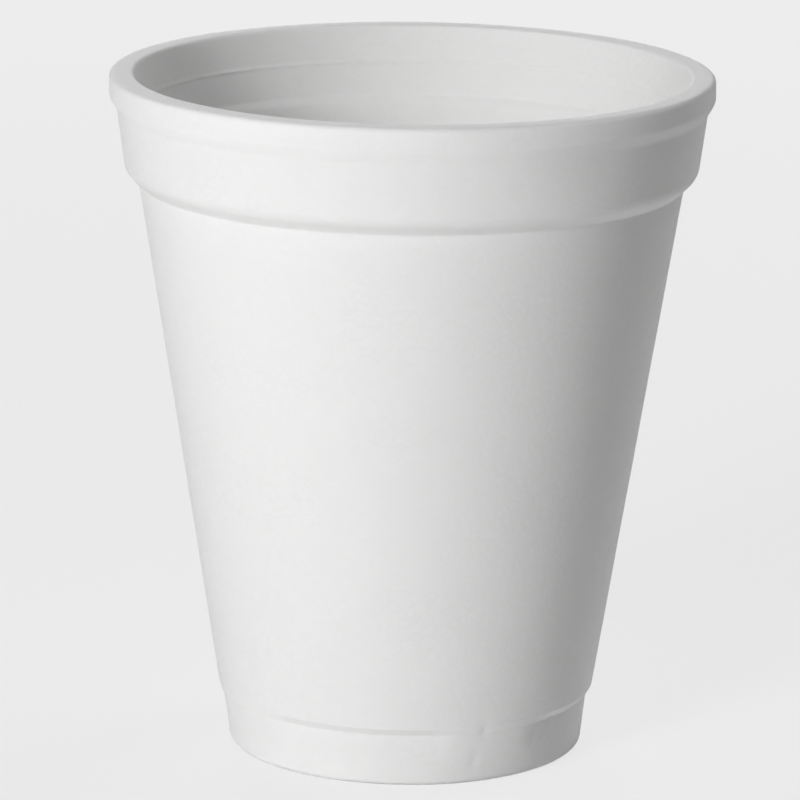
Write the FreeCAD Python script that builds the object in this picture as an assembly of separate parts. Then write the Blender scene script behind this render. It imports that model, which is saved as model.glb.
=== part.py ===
"""A disposable foam cup, moulded in one piece.

The cup is one solid turned round the Z axis. It stands on its foot ring at Z = 0, mouth up. Its half
section is a closed outline of corners, each with its own rounding, and every corner follows from the
driving dimensions below.
"""

import FreeCAD, Part
import math
import os

# Driving dimensions, in millimetres and degrees.

# The whole cup
HEIGHT = 90.9  # from the table to the brim
BRIM_DIAMETER = 79.9  # across the bead round the mouth
BASE_DIAMETER = 47.2  # across the foot at the table, before its edge is rounded

# Wall and floor
WALL = 2.1  # square to the side of the body
FLOOR = 2.4  # inside floor to underside
FLOOR_FILLET = 2.5  # where the side meets the floor, inside

# Brim: a flat lip with a shallow bead round its outside
LIP_WIDTH = 3.25
BEAD_HEIGHT = 2.9  # upright part of the bead's face
BEAD_STEP = 1.0  # the bead stands this far out of the collar
BEAD_SLOPE = 1.7  # drop of the bead's underside towards the collar
BEAD_ROUND = 0.7  # outer edge of the lip
BEAD_LOWER_ROUND = 1.3
BEAD_CREASE = 1.6
LIP_ROUND = 0.45  # inner edge of the lip

# Collar under the brim
COLLAR_HEIGHT = 12.75  # from the brim to the collar's lower edge
COLLAR_DRAFT = 7.5
COLLAR_STEP = 1.85  # the collar stands this far out of the body
COLLAR_SLOPE = 1.75  # drop of the collar's underside towards the body
COLLAR_ROUND = 2.6
COLLAR_CREASE = 0.5

# Foot under the body
FOOT_HEIGHT = 7.2
FOOT_DRAFT = 6.4
FOOT_STEP = 0.75  # the body stands this far out of the foot
FOOT_SLOPE = 1.0  # rise of the body's lower face from the foot
FOOT_ROUND = 1.0
FOOT_CREASE = 0.3
BODY_ROUND = 0.5  # lower edge of the body

# Inside of the brim
MOUTH_DRAFT = 8.1
RIDGE_DEPTH = 5.0  # from the brim to the middle of the fine ridge
RIDGE_WIDTH = 0.8
RIDGE_HEIGHT = 0.16
RIDGE_ROUND = 0.3
SHOULDER_DEPTH = 10.3  # from the brim to the crease under the shoulder
SHOULDER_SLOPE = 0.8  # height of the shoulder's sloping face
SHOULDER_ROUND = 0.6
SHOULDER_CREASE = 1.0

# Underside
RING_WIDTH = 3.6  # foot ring, from the outside of the foot to the recess, at the table
RECESS_DEPTH = 2.6
RECESS_DRAFT = 12.0
RECESS_ROUND = 0.6
RECESS_FILLET = 1.0
FILL_MARK_DIAMETER = 9.0  # disc left by the mould's filling plug
FILL_MARK_HEIGHT = 0.4
FILL_MARK_ROUND = 0.2


def spread(length, draft):
    """How far a face leans outward over a height, at a draft in degrees."""
    return length * math.tan(math.radians(draft))


def outside_corners():
    """The outside of the cup, from the foot's bottom edge up to the lip, as (radius, height, rounding)."""
    base = BASE_DIAMETER / 2
    brim = BRIM_DIAMETER / 2
    foot_top = base + spread(FOOT_HEIGHT, FOOT_DRAFT)
    body_bottom = foot_top + FOOT_STEP
    collar_top = brim - BEAD_STEP
    collar_bottom = collar_top - spread(COLLAR_HEIGHT - BEAD_HEIGHT - BEAD_SLOPE, COLLAR_DRAFT)
    body_top = collar_bottom - COLLAR_STEP
    return [
        (base, 0.0, FOOT_ROUND),
        (foot_top, FOOT_HEIGHT, FOOT_CREASE),
        (body_bottom, FOOT_HEIGHT + FOOT_SLOPE, BODY_ROUND),
        (body_top, HEIGHT - COLLAR_HEIGHT - COLLAR_SLOPE, COLLAR_CREASE),
        (collar_bottom, HEIGHT - COLLAR_HEIGHT, COLLAR_ROUND),
        (collar_top, HEIGHT - BEAD_HEIGHT - BEAD_SLOPE, BEAD_CREASE),
        (brim, HEIGHT - BEAD_HEIGHT, BEAD_LOWER_ROUND),
        (brim, HEIGHT, BEAD_ROUND),
    ]


def inner_wall_radius(height):
    """Radius of the body's inner face, which runs beside its outer face at the wall's thickness."""
    lower, upper = outside_corners()[2:4]
    lean = (upper[0] - lower[0]) / (upper[1] - lower[1])
    outer = lower[0] + (height - lower[1]) * lean
    return outer - WALL * math.hypot(1.0, lean)


def inside_corners():
    """The inside of the cup, from the lip down to the middle of the floor."""
    mouth = BRIM_DIAMETER / 2 - LIP_WIDTH
    ridge_top = RIDGE_DEPTH - RIDGE_WIDTH / 2
    ridge_bottom = RIDGE_DEPTH + RIDGE_WIDTH / 2
    shoulder_top = SHOULDER_DEPTH - SHOULDER_SLOPE
    crease = HEIGHT - SHOULDER_DEPTH
    floor = RECESS_DEPTH + FLOOR
    ridge_peak = mouth - spread(RIDGE_DEPTH, MOUTH_DRAFT) - RIDGE_HEIGHT
    return [
        (mouth, HEIGHT, LIP_ROUND),
        (mouth - spread(ridge_top, MOUTH_DRAFT), HEIGHT - ridge_top, RIDGE_ROUND),
        (ridge_peak, HEIGHT - RIDGE_DEPTH, RIDGE_ROUND),
        (mouth - spread(ridge_bottom, MOUTH_DRAFT), HEIGHT - ridge_bottom, RIDGE_ROUND),
        (mouth - spread(shoulder_top, MOUTH_DRAFT), HEIGHT - shoulder_top, SHOULDER_ROUND),
        (inner_wall_radius(crease), crease, SHOULDER_CREASE),
        (inner_wall_radius(floor), floor, FLOOR_FILLET),
        (0.0, floor, 0.0),
    ]


def underside_corners():
    """The underside, from the middle of the recess out to the foot ring."""
    ring_inside = BASE_DIAMETER / 2 - RING_WIDTH
    recess_top = ring_inside - spread(RECESS_DEPTH, RECESS_DRAFT)
    mark = FILL_MARK_DIAMETER / 2
    return [
        (0.0, RECESS_DEPTH - FILL_MARK_HEIGHT, 0.0),
        (mark, RECESS_DEPTH - FILL_MARK_HEIGHT, FILL_MARK_ROUND),
        (mark, RECESS_DEPTH, FILL_MARK_ROUND),
        (recess_top, RECESS_DEPTH, RECESS_FILLET),
        (ring_inside, 0.0, RECESS_ROUND),
    ]


def half_turn(before, corner, after):
    """Half the angle that the outline turns through at a corner, in radians."""
    return (corner - before).getAngle(after - corner) / 2


def roundings(points, wanted):
    """The distance from each corner to the ends of its arc, kept within the two faces it joins."""
    count = len(points)
    reach = []
    for i in range(count):
        turn = half_turn(points[i - 1], points[i], points[(i + 1) % count])
        reach.append(wanted[i] * math.tan(turn))
    kept = []
    for i in range(count):
        share = 1.0
        for j in (i - 1, (i + 1) % count):
            face = (points[i] - points[j]).Length
            share = min(share, face / max(reach[i] + reach[j], face))
        kept.append(reach[i] * share)
    return kept


def rounded_outline(corners):
    """A closed wire in the XZ plane through the corners, each replaced by its tangent arc."""
    points = [FreeCAD.Vector(radius, 0.0, height) for radius, height, _ in corners]
    reach = roundings(points, [rounding for _, _, rounding in corners])
    edges = []
    ends = []
    for i, point in enumerate(points):
        before = (points[i - 1] - point).normalize()
        after = (points[(i + 1) % len(points)] - point).normalize()
        ends.append((point + before * reach[i], point + after * reach[i]))
    for i, point in enumerate(points):
        start, end = ends[i]
        if reach[i] > 0:
            turn = half_turn(points[i - 1], point, points[(i + 1) % len(points)])
            inward = ((start + end) / 2 - point).normalize()
            middle = point + inward * (reach[i] / math.tan(turn) * (1 / math.cos(turn) - 1))
            edges.append(Part.Arc(start, middle, end).toShape())
        following = ends[(i + 1) % len(points)][0]
        if end.distanceToPoint(following) > 1e-6:
            edges.append(Part.LineSegment(end, following).toShape())
    return Part.Wire(edges)


def cup():
    """The whole cup, as one solid."""
    corners = underside_corners() + outside_corners() + inside_corners()
    section = Part.Face(rounded_outline(corners))
    return section.revolve(FreeCAD.Vector(0, 0, 0), FreeCAD.Vector(0, 0, 1), 360)


def main():
    os.makedirs("parts", exist_ok=True)
    solid = cup()
    solid.exportStep("parts/cup.step")
    box = solid.optimalBoundingBox()
    print(f"cup: {solid.ShapeType}, valid {solid.isValid()}, {solid.Volume / 1000:.2f} cm3")
    print(f"box: {box.XLength:.2f} x {box.YLength:.2f} x {box.ZLength:.2f} mm, lowest point {box.ZMin:.3f}")


main()
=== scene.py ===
"""The looks of a disposable foam cup, moulded in one piece, standing empty on a pale floor."""

import logging
import math
from dataclasses import dataclass, field
from enum import Enum
from typing import Any, Union

import bmesh
import bpy
from mathutils import Matrix, Vector, noise


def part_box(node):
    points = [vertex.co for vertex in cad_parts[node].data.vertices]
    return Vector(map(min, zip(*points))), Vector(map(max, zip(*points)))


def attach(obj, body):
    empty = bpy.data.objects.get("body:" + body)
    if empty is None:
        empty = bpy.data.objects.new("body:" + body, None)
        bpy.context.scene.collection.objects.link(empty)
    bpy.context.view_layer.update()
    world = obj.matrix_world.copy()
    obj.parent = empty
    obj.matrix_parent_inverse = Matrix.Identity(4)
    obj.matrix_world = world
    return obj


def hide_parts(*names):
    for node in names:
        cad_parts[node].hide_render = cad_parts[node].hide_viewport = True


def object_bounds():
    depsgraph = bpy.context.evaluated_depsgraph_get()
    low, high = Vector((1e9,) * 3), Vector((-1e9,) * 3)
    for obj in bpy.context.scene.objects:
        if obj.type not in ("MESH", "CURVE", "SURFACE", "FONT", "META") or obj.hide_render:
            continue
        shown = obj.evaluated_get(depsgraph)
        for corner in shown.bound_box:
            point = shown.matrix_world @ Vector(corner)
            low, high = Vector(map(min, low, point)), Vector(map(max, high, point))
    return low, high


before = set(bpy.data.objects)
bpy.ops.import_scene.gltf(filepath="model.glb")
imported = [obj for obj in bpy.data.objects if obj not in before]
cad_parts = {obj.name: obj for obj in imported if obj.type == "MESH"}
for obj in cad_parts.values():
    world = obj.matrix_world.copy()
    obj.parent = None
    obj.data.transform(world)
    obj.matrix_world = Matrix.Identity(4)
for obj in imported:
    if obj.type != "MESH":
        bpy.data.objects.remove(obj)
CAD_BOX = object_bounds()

MM = 0.001
FULL_TURN = math.tau
WHITE = (1.0, 1.0, 1.0, 1.0)
WELD = 0.001 * MM  # mesh points nearer than this become one
FACING = 0.2  # a face is on the outer or inner side if its normal points that way by more than this

Link = Union[float, bpy.types.NodeSocket, "Value"]
Sockets = dict[Union[int, str], Any]

log = logging.getLogger("foam_cup")


# ---------------------------------------------------------------- shader nodes


class Value:
    """A number that varies over a surface; arithmetic on it adds Math nodes."""

    def __init__(self, nodes: "NodeMaker", socket: bpy.types.NodeSocket) -> None:
        """Wrap an output socket.

        Args:
            nodes: The maker that adds further nodes to the same tree.
            socket: The output socket that carries the number.
        """
        self.nodes = nodes
        self.socket = socket

    def _math(self, operation: str, first: Link, second: Link) -> "Value":
        """Add one Math node.

        Args:
            operation: The Math node's operation.
            first: Its first input.
            second: Its second input.

        Returns:
            The node's result.
        """
        node = self.nodes.add("ShaderNodeMath", {"operation": operation}, {0: first, 1: second})
        return Value(self.nodes, node.outputs[0])

    def __add__(self, other: Link) -> "Value":
        """Sum."""
        return self._math("ADD", self, other)

    def __radd__(self, other: Link) -> "Value":
        """Sum, with the plain number first."""
        return self._math("ADD", other, self)

    def __rsub__(self, other: Link) -> "Value":
        """Difference, with the plain number first."""
        return self._math("SUBTRACT", other, self)

    def __mul__(self, other: Link) -> "Value":
        """Product."""
        return self._math("MULTIPLY", self, other)


class NodeMaker:
    """Adds nodes to a material's or a world's tree."""

    def __init__(self, tree: bpy.types.NodeTree) -> None:
        """Start from an empty tree.

        Args:
            tree: The tree to fill. Its default nodes are removed.
        """
        self.tree = tree
        self.tree.nodes.clear()

    def add(self, kind: str, settings: dict[str, Any], sockets: Sockets) -> bpy.types.Node:
        """Add one node.

        Args:
            kind: The node's type.
            settings: The node's own properties, set before its sockets.
            sockets: A value, an output socket or a Value for each input, by index or name.

        Returns:
            The new node.
        """
        node = self.tree.nodes.new(kind)
        for name, setting in settings.items():
            setattr(node, name, setting)
        for key, given in sockets.items():
            if isinstance(given, Value):
                given = given.socket
            if isinstance(given, bpy.types.NodeSocket):
                self.tree.links.new(given, node.inputs[key])
            else:
                node.inputs[key].default_value = given
        return node

    def value(self, kind: str, settings: dict[str, Any], sockets: Sockets) -> Value:
        """Add one node and take the number that it gives first.

        Args:
            kind: The node's type.
            settings: The node's own properties.
            sockets: What its inputs get.

        Returns:
            The number, ready for arithmetic.
        """
        return Value(self, self.add(kind, settings, sockets).outputs[0])

    def ramp(self, source: Link, low: float, high: float) -> Value:
        """Turn a number's range into 0 to 1, smoothly and without overshoot.

        Args:
            source: The number.
            low: What becomes 0.
            high: What becomes 1.

        Returns:
            The share of the way from low to high.
        """
        settings = {"interpolation_type": "SMOOTHSTEP"}
        sockets = {"Value": source, "From Min": low, "From Max": high}
        return self.value("ShaderNodeMapRange", settings, sockets)

    def blend(self, share: Link, first: Any, second: Any) -> bpy.types.NodeSocket:
        """Mix two colours.

        Args:
            share: How much of the second colour there is.
            first: A colour socket, or red, green and blue.
            second: The same.

        Returns:
            The mixed colour.
        """
        sockets = {"Factor": share}
        for key, given in ((6, first), (7, second)):
            sockets[key] = (*given, 1.0) if isinstance(given, tuple) else given
        return self.add("ShaderNodeMix", {"data_type": "RGBA"}, sockets).outputs[2]

    def clouds(self, place: bpy.types.NodeSocket, size: float, detail: float) -> bpy.types.Node:
        """Add a noise texture.

        Args:
            place: Where in space it is read.
            size: How large its patches are.
            detail: How many finer layers it has.

        Returns:
            The node.
        """
        sockets = {"Vector": place, "Scale": 1.0 / size, "Detail": detail}
        return self.add("ShaderNodeTexNoise", {}, sockets)


# ---------------------------------------------------------------- finishes


@dataclass(frozen=True)
class BeadFoam:
    """White expanded foam: small beads fused side by side under a thin moulded skin."""

    name: str = "bead_foam"
    colour: tuple[float, float, float] = (0.95, 0.95, 0.945)
    seam_colour: tuple[float, float, float] = (0.905, 0.905, 0.90)
    pale_bead_colour: tuple[float, float, float] = (0.965, 0.965, 0.96)
    bead: float = 1.5 * MM
    wander: float = 2.5  # how far apart the bends in the rows of beads are, in beads
    patch: float = 10.0  # how large the patches with clear seams are, in beads
    patch_edge: tuple[float, float] = (0.35, 0.7)  # where seams start to show, and show in full
    seam: float = 0.10  # half the seam's width, as a share of a bead
    seam_strength: float = 0.5
    crumb: float = 0.35 * MM
    dome_width: float = 2.5  # how far a bead rises from its seam, in seam half-widths
    dome_share: float = 0.7
    crumb_share: float = 0.3
    bead_share: float = 0.4
    bump_height: float = 0.018 * MM
    bump_strength: float = 0.5
    roughness: float = 0.72
    crumb_roughness: float = 0.12
    index: float = 1.3
    sheen: float = 0.22  # how strongly the skin mirrors, where 0.5 is usual for its index
    scatter: float = 0.25
    scatter_depth: float = 0.6 * MM

    def material(self) -> bpy.types.Material:
        """Build the foam's material.

        Returns:
            The material, patterned in the object's own space.
        """
        material = bpy.data.materials.new(self.name)
        material.use_nodes = True
        nodes = NodeMaker(material.node_tree)
        place = nodes.add("ShaderNodeTexCoord", {}, {}).outputs["Object"]
        crumb = Value(nodes, nodes.clouds(place, self.crumb, 3.0).outputs[0])
        edge, tint, seam = self.beads(nodes, place)
        dome = nodes.ramp(edge, 0.0, self.dome_width * self.seam)
        height = dome * self.dome_share + crumb * self.crumb_share + tint * self.bead_share
        bump = nodes.add("ShaderNodeBump", {}, {
            "Strength": self.bump_strength, "Distance": self.bump_height, "Height": height})
        shader = nodes.add("ShaderNodeBsdfPrincipled", {}, {
            "Base Color": self.tone(nodes, tint, seam),
            "Roughness": self.roughness + crumb * self.crumb_roughness,
            "IOR": self.index,
            "Specular IOR Level": self.sheen,
            "Subsurface Weight": self.scatter,
            "Subsurface Scale": self.scatter_depth,
            "Subsurface Radius": (1.0, 1.0, 1.0),
            "Normal": bump.outputs[0],
        })
        nodes.add("ShaderNodeOutputMaterial", {}, {"Surface": shader.outputs[0]})
        return material

    def beads(self, nodes: NodeMaker, place: bpy.types.NodeSocket) -> tuple[Value, Value, Value]:
        """Lay out the beads.

        Args:
            nodes: The tree to add to.
            place: Where in space the pattern is read.

        Returns:
            The distance to the nearest seam in beads, each bead's own tint from 0 to 1, and how
            clearly a seam shows.
        """
        bends = nodes.clouds(place, self.wander * self.bead, 1.0).outputs["Color"]
        drift = nodes.add("ShaderNodeVectorMath", {"operation": "MULTIPLY_ADD"},
                          {0: bends, 1: (self.bead,) * 3, 2: place}).outputs[0]
        cells = {"Vector": drift, "Scale": 1.0 / self.bead}
        edge = nodes.value("ShaderNodeTexVoronoi", {"feature": "DISTANCE_TO_EDGE"}, cells)
        shade = nodes.add("ShaderNodeTexVoronoi", {"feature": "F1"}, cells)
        tint = nodes.value("ShaderNodeSeparateColor", {}, {"Color": shade.outputs["Color"]})
        patch = Value(nodes, nodes.clouds(place, self.patch * self.bead, 2.0).outputs[0])
        seam = (1.0 - nodes.ramp(edge, 0.0, self.seam)) * nodes.ramp(patch, *self.patch_edge)
        return edge, tint, seam

    def tone(self, nodes: NodeMaker, tint: Value, seam: Value) -> bpy.types.NodeSocket:
        """Colour the skin.

        Args:
            nodes: The tree to add to.
            tint: Each bead's own tint, from 0 to 1.
            seam: How clearly a seam shows.

        Returns:
            The colour.
        """
        beads = nodes.blend(tint, self.colour, self.pale_bead_colour)
        return nodes.blend(seam * self.seam_strength, beads, self.seam_colour)


@dataclass(frozen=True)
class PaleFloor:
    """A plain pale floor that takes a soft shadow and looks as bright as the backdrop."""

    name: str = "pale_floor"
    colour: tuple[float, float, float] = (0.90, 0.90, 0.90)
    backdrop: float = 0.872
    shadow_share: float = 0.15

    def material(self) -> bpy.types.Material:
        """Build the floor's material.

        Returns:
            A diffuse material which the camera, mirrors and glass see mostly as plain brightness.
        """
        material = bpy.data.materials.new(self.name)
        material.use_nodes = True
        nodes = NodeMaker(material.node_tree)
        lit = nodes.add("ShaderNodeBsdfDiffuse", {}, {"Color": (*self.colour, 1.0)}).outputs[0]
        plain = nodes.add("ShaderNodeEmission", {}, {"Color": WHITE, "Strength": self.backdrop})
        seen = self.seen(nodes) * (1.0 - self.shadow_share)
        surface = nodes.add("ShaderNodeMixShader", {}, {0: seen, 1: lit, 2: plain.outputs[0]})
        nodes.add("ShaderNodeOutputMaterial", {}, {"Surface": surface.outputs[0]})
        return material

    def backdrop_world(self, light: float) -> bpy.types.World:
        """Build the world: pale where it is seen, and a weak even light elsewhere.

        Args:
            light: How much light the world gives.

        Returns:
            The world.
        """
        world = bpy.data.worlds.new("backdrop")
        world.use_nodes = True
        nodes = NodeMaker(world.node_tree)
        strength = self.seen(nodes) * (self.backdrop - light) + light
        sky = nodes.add("ShaderNodeBackground", {}, {"Color": WHITE, "Strength": strength})
        nodes.add("ShaderNodeOutputWorld", {}, {"Surface": sky.outputs[0]})
        return world

    @staticmethod
    def seen(nodes: NodeMaker) -> Value:
        """Tell rays that show the backdrop from rays that light the object.

        Args:
            nodes: The tree to add to.

        Returns:
            1 for rays from the camera, from a mirror or through glass, and 0 for the rest.
        """
        path = nodes.add("ShaderNodeLightPath", {}, {})
        rays = [Value(nodes, path.outputs[name])
                for name in ("Is Camera Ray", "Is Glossy Ray", "Is Transmission Ray")]
        hidden = (1.0 - rays[0]) * (1.0 - rays[1]) * (1.0 - rays[2])
        return 1.0 - hidden


# ---------------------------------------------------------------- the cup


class Side(Enum):
    """The sides of the cup, each with the spacing of its mesh rings in metres."""

    UNDERSIDE = 1.4 * MM
    OUTSIDE = 0.7 * MM
    INSIDE = 1.15 * MM


@dataclass(frozen=True)
class Corner:
    """A corner of the cup's half section, in metres."""

    radius: float
    height: float
    rounding: float = 0.0
    segments: int = 3

    @property
    def point(self) -> Vector:
        """The corner in the section's plane."""
        return Vector((self.radius, 0.0, self.height))


def spread(length: float, draft: float) -> float:
    """How far a face leans outward over a length, at a draft in degrees."""
    return length * math.tan(math.radians(draft))


@dataclass(frozen=True)
class Brim:
    """The flat lip with a shallow bead round its outside."""

    radius: float
    top: float
    lip_width: float = 3.25 * MM
    bead_height: float = 2.9 * MM
    bead_step: float = 1.0 * MM
    bead_slope: float = 1.7 * MM
    bead_round: float = 0.7 * MM
    lower_round: float = 1.3 * MM
    crease: float = 1.6 * MM
    lip_round: float = 0.45 * MM

    @property
    def collar_radius(self) -> float:
        """Radius at the top of the collar, under the bead."""
        return self.radius - self.bead_step

    @property
    def collar_top(self) -> float:
        """Height at which the collar meets the bead's underside."""
        return self.top - self.bead_height - self.bead_slope

    @property
    def mouth_radius(self) -> float:
        """Radius of the lip's inner edge."""
        return self.radius - self.lip_width

    def corners(self) -> list[Corner]:
        """The bead's corners, going up."""
        return [
            Corner(self.collar_radius, self.collar_top, self.crease, 3),
            Corner(self.radius, self.top - self.bead_height, self.lower_round, 4),
            Corner(self.radius, self.top, self.bead_round, 5),
        ]


@dataclass(frozen=True)
class Collar:
    """The stepped band under the brim."""

    brim: Brim
    height: float = 12.75 * MM
    draft: float = 7.5
    step: float = 1.85 * MM
    slope: float = 1.75 * MM
    edge_round: float = 2.6 * MM
    crease: float = 0.5 * MM

    @property
    def bottom(self) -> float:
        """Height of the collar's lower edge."""
        return self.brim.top - self.height

    @property
    def bottom_radius(self) -> float:
        """Radius of the collar's lower edge."""
        return self.brim.collar_radius - spread(self.brim.collar_top - self.bottom, self.draft)

    def corners(self) -> list[Corner]:
        """The collar's lower corners, going up from the crease where the body begins."""
        return [
            Corner(self.bottom_radius - self.step, self.bottom - self.slope, self.crease, 3),
            Corner(self.bottom_radius, self.bottom, self.edge_round, 6),
        ]


@dataclass(frozen=True)
class Foot:
    """The stepped foot and the ring that the cup stands on."""

    diameter: float = 47.2 * MM
    height: float = 7.2 * MM
    draft: float = 6.4
    step: float = 0.75 * MM
    slope: float = 1.0 * MM
    edge_round: float = 1.0 * MM
    crease: float = 0.3 * MM
    body_round: float = 0.5 * MM
    ring_width: float = 3.6 * MM
    recess_depth: float = 2.6 * MM
    recess_draft: float = 12.0
    recess_round: float = 0.6 * MM
    recess_fillet: float = 1.0 * MM
    fill_mark_diameter: float = 9.0 * MM
    fill_mark_height: float = 0.4 * MM
    fill_mark_round: float = 0.2 * MM

    def underside(self) -> list[Corner]:
        """The underside's corners, from the middle of the recess out to the foot ring."""
        ring_inside = self.diameter / 2 - self.ring_width
        recess_top = ring_inside - spread(self.recess_depth, self.recess_draft)
        mark = self.fill_mark_diameter / 2
        return [
            Corner(0.0, self.recess_depth - self.fill_mark_height),
            Corner(mark, self.recess_depth - self.fill_mark_height, self.fill_mark_round),
            Corner(mark, self.recess_depth, self.fill_mark_round),
            Corner(recess_top, self.recess_depth, self.recess_fillet, 4),
            Corner(ring_inside, 0.0, self.recess_round, 4),
        ]

    def corners(self) -> list[Corner]:
        """The foot's outer corners, going up to the lower edge of the body."""
        top_radius = self.diameter / 2 + spread(self.height, self.draft)
        return [
            Corner(self.diameter / 2, 0.0, self.edge_round, 5),
            Corner(top_radius, self.height, self.crease, 3),
            Corner(top_radius + self.step, self.height + self.slope, self.body_round, 4),
        ]


@dataclass(frozen=True)
class Inside:
    """The inner face: a fine ridge, a shoulder, the tapered wall and the floor."""

    brim: Brim
    collar: Collar
    foot: Foot
    wall: float = 2.1 * MM
    floor: float = 2.4 * MM
    floor_fillet: float = 2.5 * MM
    mouth_draft: float = 8.1
    ridge_depth: float = 5.0 * MM
    ridge_width: float = 0.8 * MM
    ridge_height: float = 0.16 * MM
    ridge_round: float = 0.3 * MM
    shoulder_depth: float = 10.3 * MM
    shoulder_slope: float = 0.8 * MM
    shoulder_round: float = 0.6 * MM
    shoulder_crease: float = 1.0 * MM

    def wall_radius(self, height: float) -> float:
        """Radius of the tapered wall.

        Args:
            height: Where, above the floor that the cup stands on.

        Returns:
            The inner radius, one wall's thickness in from the outside.
        """
        lower = self.foot.corners()[-1]
        upper = self.collar.corners()[0]
        lean = (upper.radius - lower.radius) / (upper.height - lower.height)
        outer = lower.radius + (height - lower.height) * lean
        return outer - self.wall * math.hypot(1.0, lean)

    def brim_face(self, depth: float, proud: float = 0.0) -> tuple[float, float]:
        """A point of the face inside the brim.

        Args:
            depth: How far below the lip.
            proud: How far it stands out of the face.

        Returns:
            Its radius and height.
        """
        return self.brim.mouth_radius - spread(depth, self.mouth_draft) - proud, self.brim.top - depth

    def corners(self) -> list[Corner]:
        """The inside's corners, from the lip down to the middle of the floor."""
        ridge_half = self.ridge_width / 2
        crease = self.brim.top - self.shoulder_depth
        floor = self.foot.recess_depth + self.floor
        return [
            Corner(self.brim.mouth_radius, self.brim.top, self.brim.lip_round, 4),
            Corner(*self.brim_face(self.ridge_depth - ridge_half), self.ridge_round),
            Corner(*self.brim_face(self.ridge_depth, self.ridge_height), self.ridge_round),
            Corner(*self.brim_face(self.ridge_depth + ridge_half), self.ridge_round),
            Corner(*self.brim_face(self.shoulder_depth - self.shoulder_slope), self.shoulder_round, 4),
            Corner(self.wall_radius(crease), crease, self.shoulder_crease, 4),
            Corner(self.wall_radius(floor), floor, self.floor_fillet, 6),
            Corner(0.0, floor),
        ]


def outward(point: Vector, normal: Vector) -> float:
    """How much of a normal points away from the cup's axis, from -1 to 1.

    Args:
        point: Where the face is.
        normal: The face's normal there.

    Returns:
        The share, negative on the inner face.
    """
    return (normal.x * point.x + normal.y * point.y) / max(math.hypot(point.x, point.y), MM)


def ease(share: float) -> float:
    """A share from 0 to 1, made to start and end gently."""
    return share * share * (3.0 - 2.0 * share)


def turn_from(azimuth: float, point: Vector) -> float:
    """The turn from an azimuth to a point.

    Args:
        azimuth: Degrees from the front, positive to the right.
        point: The point.

    Returns:
        The turn in radians, from minus half a turn to half a turn.
    """
    return math.remainder(math.atan2(point.x, -point.y) - math.radians(azimuth), FULL_TURN)


class Face(Enum):
    """The face that a mark is pressed into, as the sign of its normal's outward share."""

    OUTER = 1.0
    INNER = -1.0


@dataclass(frozen=True)
class Dent:
    """A shallow mark pressed into the skin, fading out at its edge; angles are in degrees."""

    azimuth: float
    height: float
    width: float
    tall: float
    depth: float
    face: Face = Face.OUTER
    lean: float = 0.0

    def depth_at(self, point: Vector, normal: Vector) -> float:
        """How deep the mark is at a point.

        Args:
            point: A point of the true shape.
            normal: The face's normal there.

        Returns:
            The depth in metres, 0 outside the mark and on the other face.
        """
        if outward(point, normal) * self.face.value <= FACING:
            return 0.0
        along = turn_from(self.azimuth, point) * math.hypot(point.x, point.y)
        up = point.z - self.height
        tilt = math.radians(self.lean)
        across = (along * math.cos(tilt) - up * math.sin(tilt)) * 2 / self.width
        upright = (along * math.sin(tilt) + up * math.cos(tilt)) * 2 / self.tall
        inside = 1.0 - across * across - upright * upright
        return self.depth * inside * inside if inside > 0.0 else 0.0


def handling_marks() -> tuple[Dent, ...]:
    """The small dents that moulding and handling leave on the cup."""
    return (
        Dent(9.6, 6.0 * MM, 1.6 * MM, 4.5 * MM, 0.10 * MM, lean=4.0),
        Dent(10.4, 9.0 * MM, 1.8 * MM, 1.6 * MM, 0.12 * MM),
        Dent(22.4, 3.4 * MM, 1.8 * MM, 4.6 * MM, 0.13 * MM, lean=12.0),
        Dent(24.8, 7.6 * MM, 1.6 * MM, 3.6 * MM, 0.16 * MM, lean=3.0),
        Dent(44.0, 5.4 * MM, 1.7 * MM, 4.2 * MM, 0.12 * MM, lean=28.0),
        Dent(52.0, 7.2 * MM, 3.4 * MM, 1.8 * MM, 0.15 * MM, lean=80.0),
        Dent(-7.6, 87.4 * MM, 3.6 * MM, 1.6 * MM, 0.10 * MM),
        Dent(21.5, 82.0 * MM, 1.8 * MM, 1.8 * MM, 0.10 * MM),
        Dent(-174.5, 85.6 * MM, 3.4 * MM, 1.8 * MM, 0.12 * MM, Face.INNER),
        Dent(177.4, 85.0 * MM, 3.0 * MM, 2.0 * MM, 0.14 * MM, Face.INNER),
        Dent(168.4, 84.2 * MM, 3.2 * MM, 2.0 * MM, 0.14 * MM, Face.INNER),
        Dent(175.9, 82.7 * MM, 2.6 * MM, 2.2 * MM, 0.13 * MM, Face.INNER),
        Dent(172.9, 81.4 * MM, 2.8 * MM, 2.4 * MM, 0.13 * MM, Face.INNER),
        Dent(-126.9, 85.6 * MM, 3.2 * MM, 2.0 * MM, 0.16 * MM, Face.INNER),
    )


@dataclass(frozen=True)
class SoftCrease:
    """A stretch of a crease that the mould left partly filled; angles are in degrees."""

    azimuth: float
    half_span: float
    height: float
    rise: float
    drop: float
    fill: float
    fade: float = 20.0

    def fill_at(self, point: Vector, normal: Vector) -> float:
        """How far the skin stands out from the axis at a point, beyond the true shape.

        Args:
            point: A point of the true shape.
            normal: The face's normal there.

        Returns:
            The distance in metres, 0 outside the stretch and on the inner face.
        """
        up = point.z - self.height
        upright = up / (self.rise if up > 0.0 else self.drop)
        left = (self.half_span - abs(math.degrees(turn_from(self.azimuth, point)))) / self.fade
        if abs(upright) >= 1.0 or left <= 0.0 or outward(point, normal) <= FACING:
            return 0.0
        return self.fill * ease(min(1.0, left)) * (1.0 - upright * upright) ** 2


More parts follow.
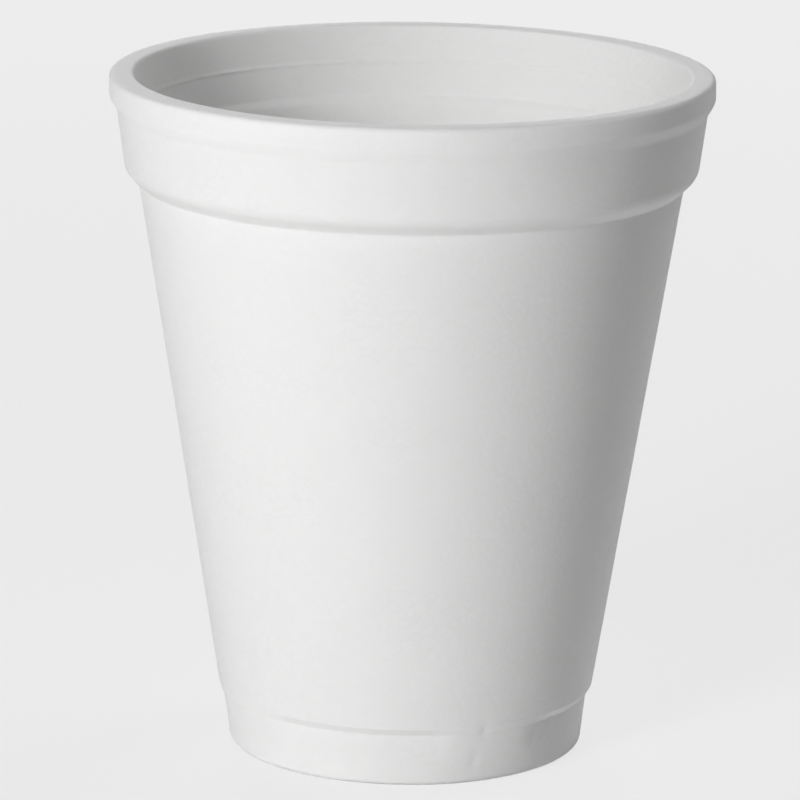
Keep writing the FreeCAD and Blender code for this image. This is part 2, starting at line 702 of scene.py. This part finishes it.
def soft_creases() -> tuple[SoftCrease, ...]:
    """The stretches where the creases under the bead and above the foot are shallow."""
    return (
        SoftCrease(-22.0, 62.0, 86.3 * MM, 2.2 * MM, 6.0 * MM, 0.40 * MM),
        SoftCrease(-62.0, 27.0, 7.1 * MM, 1.3 * MM, 5.0 * MM, 0.50 * MM, 14.0),
        SoftCrease(27.0, 24.0, 7.1 * MM, 1.3 * MM, 5.0 * MM, 0.50 * MM, 14.0),
    )


@dataclass(frozen=True)
class Unevenness:
    """How the skin departs from a true turned shape."""

    wave_size: float = 11.0 * MM
    wave_depth: float = 0.05 * MM
    bead_size: float = 2.2 * MM
    bead_depth: float = 0.012 * MM
    seam: float = 0.35  # the seam's width, as a share of a bead
    marks: tuple[Dent, ...] = field(default_factory=handling_marks)
    creases: tuple[SoftCrease, ...] = field(default_factory=soft_creases)

    def move(self, point: Vector, normal: Vector) -> Vector:
        """How a point of the skin moves.

        Args:
            point: A point of the true shape.
            normal: The face's normal there.

        Returns:
            The move in metres: into the foam, and away from the axis where a crease is filled.
        """
        wave = 0.5 + 0.5 * noise.noise(point / self.wave_size)
        near, second = noise.voronoi(point / self.bead_size)[0][:2]
        seam = 1.0 - min(1.0, (second - near) / self.seam)
        dents = sum(mark.depth_at(point, normal) for mark in self.marks)
        fills = sum(crease.fill_at(point, normal) for crease in self.creases)
        away = Vector((point.x, point.y, 0.0)).normalized()
        return away * fills - normal * (wave * self.wave_depth + seam * seam * self.bead_depth + dents)


@dataclass
class FoamCup:
    """The whole cup, one closed shell that stands for the cup's solid."""

    node: str = "cup"
    piece: str = "cup_shell"
    finish: BeadFoam = field(default_factory=BeadFoam)
    unevenness: Unevenness = field(default_factory=Unevenness)
    columns: int = 300

    def __post_init__(self) -> None:
        """Take the cup's height and width from the frame and fit its parts to them."""
        low, high = (Vector(corner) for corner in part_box(self.node))
        self.brim = Brim(radius=(high.x - low.x) / 2, top=high.z)
        self.collar = Collar(self.brim)
        self.foot = Foot()
        self.inside = Inside(self.brim, self.collar, self.foot)

    def corners(self) -> list[Corner]:
        """The half section's corners, from the middle of the underside round to the floor."""
        outside = self.foot.corners() + self.collar.corners() + self.brim.corners()
        return self.foot.underside() + outside + self.inside.corners()

    def outline(self, mesh: bmesh.types.BMesh) -> None:
        """Draw the half section as a chain of edges, rounded and divided into rings.

        Args:
            mesh: The mesh to draw in.
        """
        last = None
        rounded = []
        for corner in self.corners():
            vertex = mesh.verts.new(corner.point)
            if last:
                mesh.edges.new((last, vertex))
            if corner.rounding:
                rounded.append((vertex, corner))
            last = vertex
        for vertex, corner in rounded:
            self.round_off(mesh, vertex, corner)
        self.divide(mesh)

    @staticmethod
    def round_off(mesh: bmesh.types.BMesh, vertex: bmesh.types.BMVert, corner: Corner) -> None:
        """Replace a corner by an arc.

        Args:
            mesh: The mesh.
            vertex: The corner's vertex, with its two edges.
            corner: Its rounding and how many edges the arc has.
        """
        towards = [(edge.other_vert(vertex).co - vertex.co).normalized() for edge in vertex.link_edges]
        half_turn = (math.pi - towards[0].angle(towards[1])) / 2
        reach = corner.rounding * math.tan(half_turn)
        bmesh.ops.bevel(mesh, geom=[vertex], offset=reach, offset_type="OFFSET",
                        segments=corner.segments, profile=0.5, affect="VERTICES", material=-1)

    def divide(self, mesh: bmesh.types.BMesh) -> None:
        """Divide the outline's straight edges into short ones.

        Args:
            mesh: The mesh that holds the outline.
        """
        for edge in list(mesh.edges):
            cuts = math.ceil(edge.calc_length() / self.spacing(edge)) - 1
            if cuts > 0:
                bmesh.ops.subdivide_edges(mesh, edges=[edge], cuts=cuts)

    def spacing(self, edge: bmesh.types.BMEdge) -> float:
        """The ring spacing that suits an edge of the outline.

        Args:
            edge: The edge.

        Returns:
            The spacing of the side that the edge lies on.
        """
        middle = (edge.verts[0].co + edge.verts[1].co) / 2
        floor = self.foot.recess_depth + self.inside.floor / 2
        if middle.z < floor and middle.x < self.foot.diameter / 2 - self.foot.edge_round:
            return Side.UNDERSIDE.value
        if middle.x < self.inside.wall_radius(middle.z) + self.inside.wall / 2:
            return Side.INSIDE.value
        return Side.OUTSIDE.value

    def shell(self) -> bpy.types.Mesh:
        """Turn the half section into the closed shell and give its skin its unevenness.

        Returns:
            The mesh.
        """
        mesh = bmesh.new()
        self.outline(mesh)
        bmesh.ops.spin(mesh, geom=mesh.verts[:] + mesh.edges[:], cent=(0.0, 0.0, 0.0),
                       axis=(0.0, 0.0, 1.0), angle=FULL_TURN, steps=self.columns, use_merge=True)
        bmesh.ops.remove_doubles(mesh, verts=mesh.verts[:], dist=WELD)
        bmesh.ops.recalc_face_normals(mesh, faces=mesh.faces[:])
        mesh.normal_update()
        moves = [(vertex, self.unevenness.move(vertex.co, vertex.normal)) for vertex in mesh.verts]
        for vertex, move in moves:
            vertex.co += move
        for face in mesh.faces:
            face.smooth = True
        shell = bpy.data.meshes.new(self.piece)
        mesh.to_mesh(shell)
        mesh.free()
        return shell

    def build(self) -> bpy.types.Object:
        """Make the cup and put it in place of its solid.

        Returns:
            The finished piece.
        """
        shell = self.shell()
        shell.materials.append(self.finish.material())
        piece = bpy.data.objects.new(self.piece, shell)
        bpy.context.scene.collection.objects.link(piece)
        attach(piece, "root")
        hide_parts(self.node)
        return piece


# ---------------------------------------------------------------- the studio


class Lamp(Enum):
    """The studio's lamps: azimuth, elevation, distance, width and power."""

    KEY = (-34.0, 22.0, 1.3, 0.40, 9.2)
    LOW = (-34.0, 8.0, 1.3, 0.40, 2.0)
    TOP = (60.0, 78.0, 1.3, 0.60, 0.9)
    RIM = (130.0, 45.0, 1.3, 0.60, 4.0)
    BACK = (-175.0, 14.0, 1.3, 0.60, 7.5)

    def aim(self, centre: Vector) -> bpy.types.Object:
        """Place the lamp round the object.

        Args:
            centre: The point that it faces.

        Returns:
            The lamp's object.
        """
        azimuth, elevation, distance, width, power = self.value
        light = bpy.data.lights.new(self.name.lower(), "AREA")
        light.shape = "DISK"
        light.size = width
        light.energy = power
        lamp = bpy.data.objects.new(light.name, light)
        direction = around(azimuth, elevation)
        lamp.location = centre + direction * distance
        lamp.rotation_euler = direction.to_track_quat("Z", "Y").to_euler()
        bpy.context.scene.collection.objects.link(lamp)
        return lamp


def around(azimuth: float, elevation: float) -> Vector:
    """The direction from the object towards a point round it.

    Args:
        azimuth: Degrees from the front, positive to the right.
        elevation: Degrees above the horizon.

    Returns:
        A vector of length 1.
    """
    side, rise = math.radians(azimuth), math.radians(elevation)
    return Vector((math.sin(side) * math.cos(rise), -math.cos(side) * math.cos(rise), math.sin(rise)))


@dataclass
class Studio:
    """The floor, the lamps and the camera."""

    floor_size: float = 12.0
    floor: PaleFloor = field(default_factory=PaleFloor)
    world_light: float = 0.01
    camera_distance: float = 754.7 * MM
    camera_elevation: float = 13.51
    camera_roll: float = 0.67
    lens: float = 254.6
    aim_left: float = 1.18 * MM
    aim_up: float = 1.03 * MM

    def build(self) -> None:
        """Set up the whole studio round the object."""
        low, high = (Vector(corner) for corner in CAD_BOX)
        centre = (low + high) / 2
        self.lay_floor(low.z)
        for lamp in Lamp:
            lamp.aim(centre)
        bpy.context.scene.world = self.floor.backdrop_world(self.world_light)
        self.set_camera(centre)
        bpy.context.scene.view_settings.view_transform = "Standard"

    def lay_floor(self, height: float) -> None:
        """Lay the floor.

        Args:
            height: The level that the object stands on.
        """
        mesh = bmesh.new()
        bmesh.ops.create_grid(mesh, x_segments=1, y_segments=1, size=self.floor_size / 2,
                              matrix=Matrix.Translation((0.0, 0.0, height)))
        flat = bpy.data.meshes.new("floor")
        mesh.to_mesh(flat)
        mesh.free()
        flat.materials.append(self.floor.material())
        floor = bpy.data.objects.new("floor", flat)
        bpy.context.scene.collection.objects.link(floor)

    def set_camera(self, centre: Vector) -> None:
        """Place the camera in front of the object, a little above it.

        Args:
            centre: The middle of the object.
        """
        back = around(0.0, self.camera_elevation)
        right = Vector((1.0, 0.0, 0.0))
        up = back.cross(right)
        aim = centre - right * self.aim_left + up * self.aim_up
        level = Matrix((right, up, back)).transposed()
        turn = level @ Matrix.Rotation(math.radians(self.camera_roll), 3, "Z")
        camera = bpy.data.cameras.new("camera")
        camera.lens = self.lens
        holder = bpy.data.objects.new("camera", camera)
        holder.matrix_world = Matrix.Translation(aim + back * self.camera_distance) @ turn.to_4x4()
        bpy.context.scene.collection.objects.link(holder)
        bpy.context.scene.camera = holder


def main() -> None:
    """Build the cup and its studio."""
    logging.basicConfig(level=logging.INFO, format="%(message)s")
    cup = FoamCup().build()
    triangles = sum(len(face.vertices) - 2 for face in cup.data.polygons)
    log.info("%s: %d triangles", cup.name, triangles)
    Studio().build()


if __name__ == "__main__":
    main()
